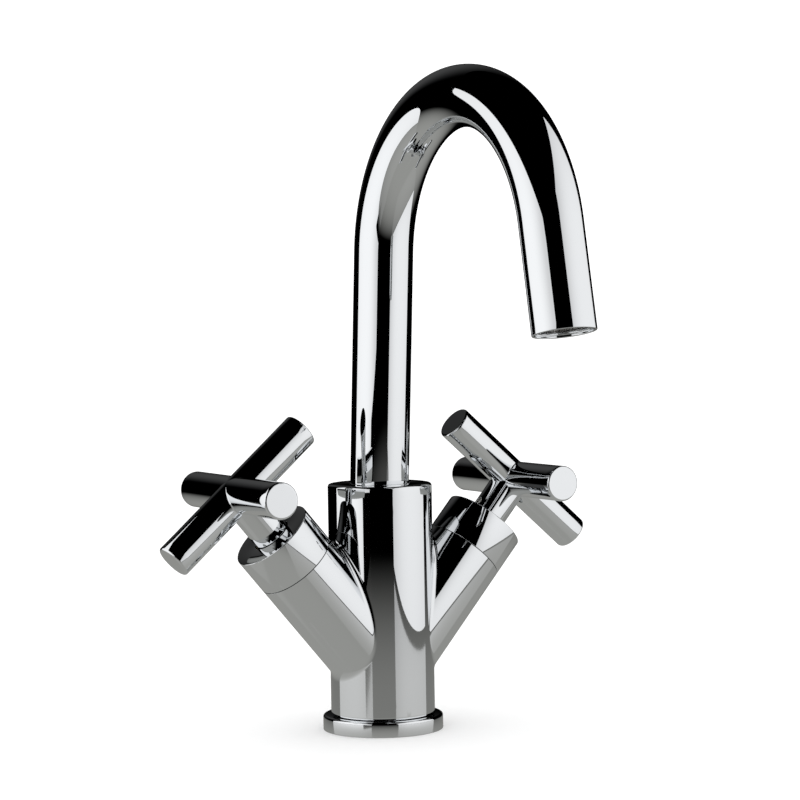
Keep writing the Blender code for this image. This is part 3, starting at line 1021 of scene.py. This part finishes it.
def deck_reflection(level):
    """Painted reflection of the deck: a glowing card, seen only by the chrome, pale near the mixer and fading out,
    glossier towards the horizon.
    """
    # Painted reflection: emission that fades from the mixer outwards, mixed by Fresnel with a real gloss
    made, tree, shader, output = glow(
        "Deck reflection", linear(0xC8C8C3), level / DECK_REFLECTION_WHITE, (0, 0, 0), DECK_REFLECTION_FADE, 0.0
    )
    sheen = add_node(
        tree, "ShaderNodeBsdfGlossy", {"Color": (1.0, 1.0, 1.0, 1.0), "Roughness": 0.12}
    )
    edge_on = add_node(tree, "ShaderNodeFresnel", {"IOR": 1.45})
    both = add_node(
        tree, "ShaderNodeMixShader",
        {0: edge_on.outputs["Fac"], 1: shader.outputs["Emission"], 2: sheen.outputs["BSDF"]},
    )
    tree.links.new(both.outputs["Shader"], output.inputs["Surface"])
    card("Deck_reflection", (0, 0, -0.2 * MM), (0, 0, 1), 4, 4, made)


def softboxes(brightness, toward, left):
    """Two tall lights along the sides of the camera's view."""
    for label, side, front, back, top, share in SOFTBOXES:
        way = left * side
        middle = Vector((0, 0, (top + SOFTBOX_GAP) / 2))
        centre = way * SOFTBOX_ASIDE + toward * ((front - back) / 2) + middle
        focus = way * SOFTBOX_ASIDE + toward * SOFTBOX_FOCUS[0] + Vector((0, 0, SOFTBOX_FOCUS[1]))
        power = brightness * share
        light, *_ = glow(
            f"{label} softbox", linear(0xFFFFFF), power, focus, SOFTBOX_FADE, SOFTBOX_EDGE * power
        )
        card(f"{label}_softbox", centre, -way, front + back, top - SOFTBOX_GAP, light)


def left_flag(toward, left):
    """A black card that hides the foot of the left softbox."""
    length, height = FLAG_SIZE
    centre = left * FLAG_ASIDE + toward * FLAG_AHEAD + Vector((0, 0, height / 2))
    shade, *_ = glow("Flag", linear(0x000000), 0.0, (0, 0, 0), (0.0, 1.0), 0.0)
    card("Left_flag", centre, -left, length, height, shade)


def back_panel(toward, left):
    """A dim light high behind the mixer, for the outer rims."""
    way = toward * math.cos(PANEL_TURN) + left * math.sin(PANEL_TURN)
    centre = way * PANEL_AWAY + Vector((0, 0, PANEL_UP))
    light, *_ = glow("Back panel", linear(0xFFFFFF), PANEL_LIGHT, centre, PANEL_FADE, 0.0)
    card("Back_panel", centre, -centre, *PANEL_SIZE, light)


class MIXER_OT_stage(bpy.types.Operator):
    """Set a white room, a pale floor, two softboxes and the camera"""

    bl_idname = "mixer.stage"
    bl_label = "Stage"

    def execute(self, context):
        stage = context.scene.mixer_stage
        studio_camera(stage)
        white_room(context.scene, stage.room)
        pale_floor()
        toward = Vector((math.sin(stage.azimuth), -math.cos(stage.azimuth), 0))
        left = Vector((-math.cos(stage.azimuth), -math.sin(stage.azimuth), 0))
        deck_reflection(stage.deck)
        softboxes(stage.boxes, toward, left)
        left_flag(toward, left)
        back_panel(toward, left)
        context.scene.view_settings.view_transform = "Standard"
        return {"FINISHED"}


class MIXER_PT_panel(bpy.types.Panel):
    """Lists the pieces in the order in which they are made"""

    bl_idname = "MIXER_PT_panel"
    bl_label = "Basin mixer"
    bl_space_type = "VIEW_3D"
    bl_region_type = "UI"
    bl_category = "Mixer"

    def draw(self, context):
        for group in ("mixer_sizes", "mixer_finishes", "mixer_stage"):
            owner = getattr(context.scene, group)
            for name in owner.__annotations__:
                self.layout.prop(owner, name)
        for step in STEPS:
            self.layout.operator(step.bl_idname)


STEPS = (
    MIXER_OT_body, MIXER_OT_base, MIXER_OT_shrouds, MIXER_OT_handles,
    MIXER_OT_spout, MIXER_OT_aerator, MIXER_OT_inner, MIXER_OT_stage,
)
GROUPS = {"mixer_sizes": MixerSizes, "mixer_finishes": MixerFinishes, "mixer_stage": MixerStage}


def register():
    for group, kind in GROUPS.items():
        bpy.utils.register_class(kind)
        setattr(bpy.types.Scene, group, PointerProperty(type=kind))
    for kind in (*STEPS, MIXER_PT_panel):
        bpy.utils.register_class(kind)


def unregister():
    for kind in (MIXER_PT_panel, *reversed(STEPS)):
        bpy.utils.unregister_class(kind)
    for group, kind in GROUPS.items():
        delattr(bpy.types.Scene, group)
        bpy.utils.unregister_class(kind)


def main():
    register()
    for name in ("body", "base", "shrouds", "handles", "spout", "aerator", "inner", "stage"):
        getattr(bpy.ops.mixer, name)()


if __name__ == "__main__":
    main()
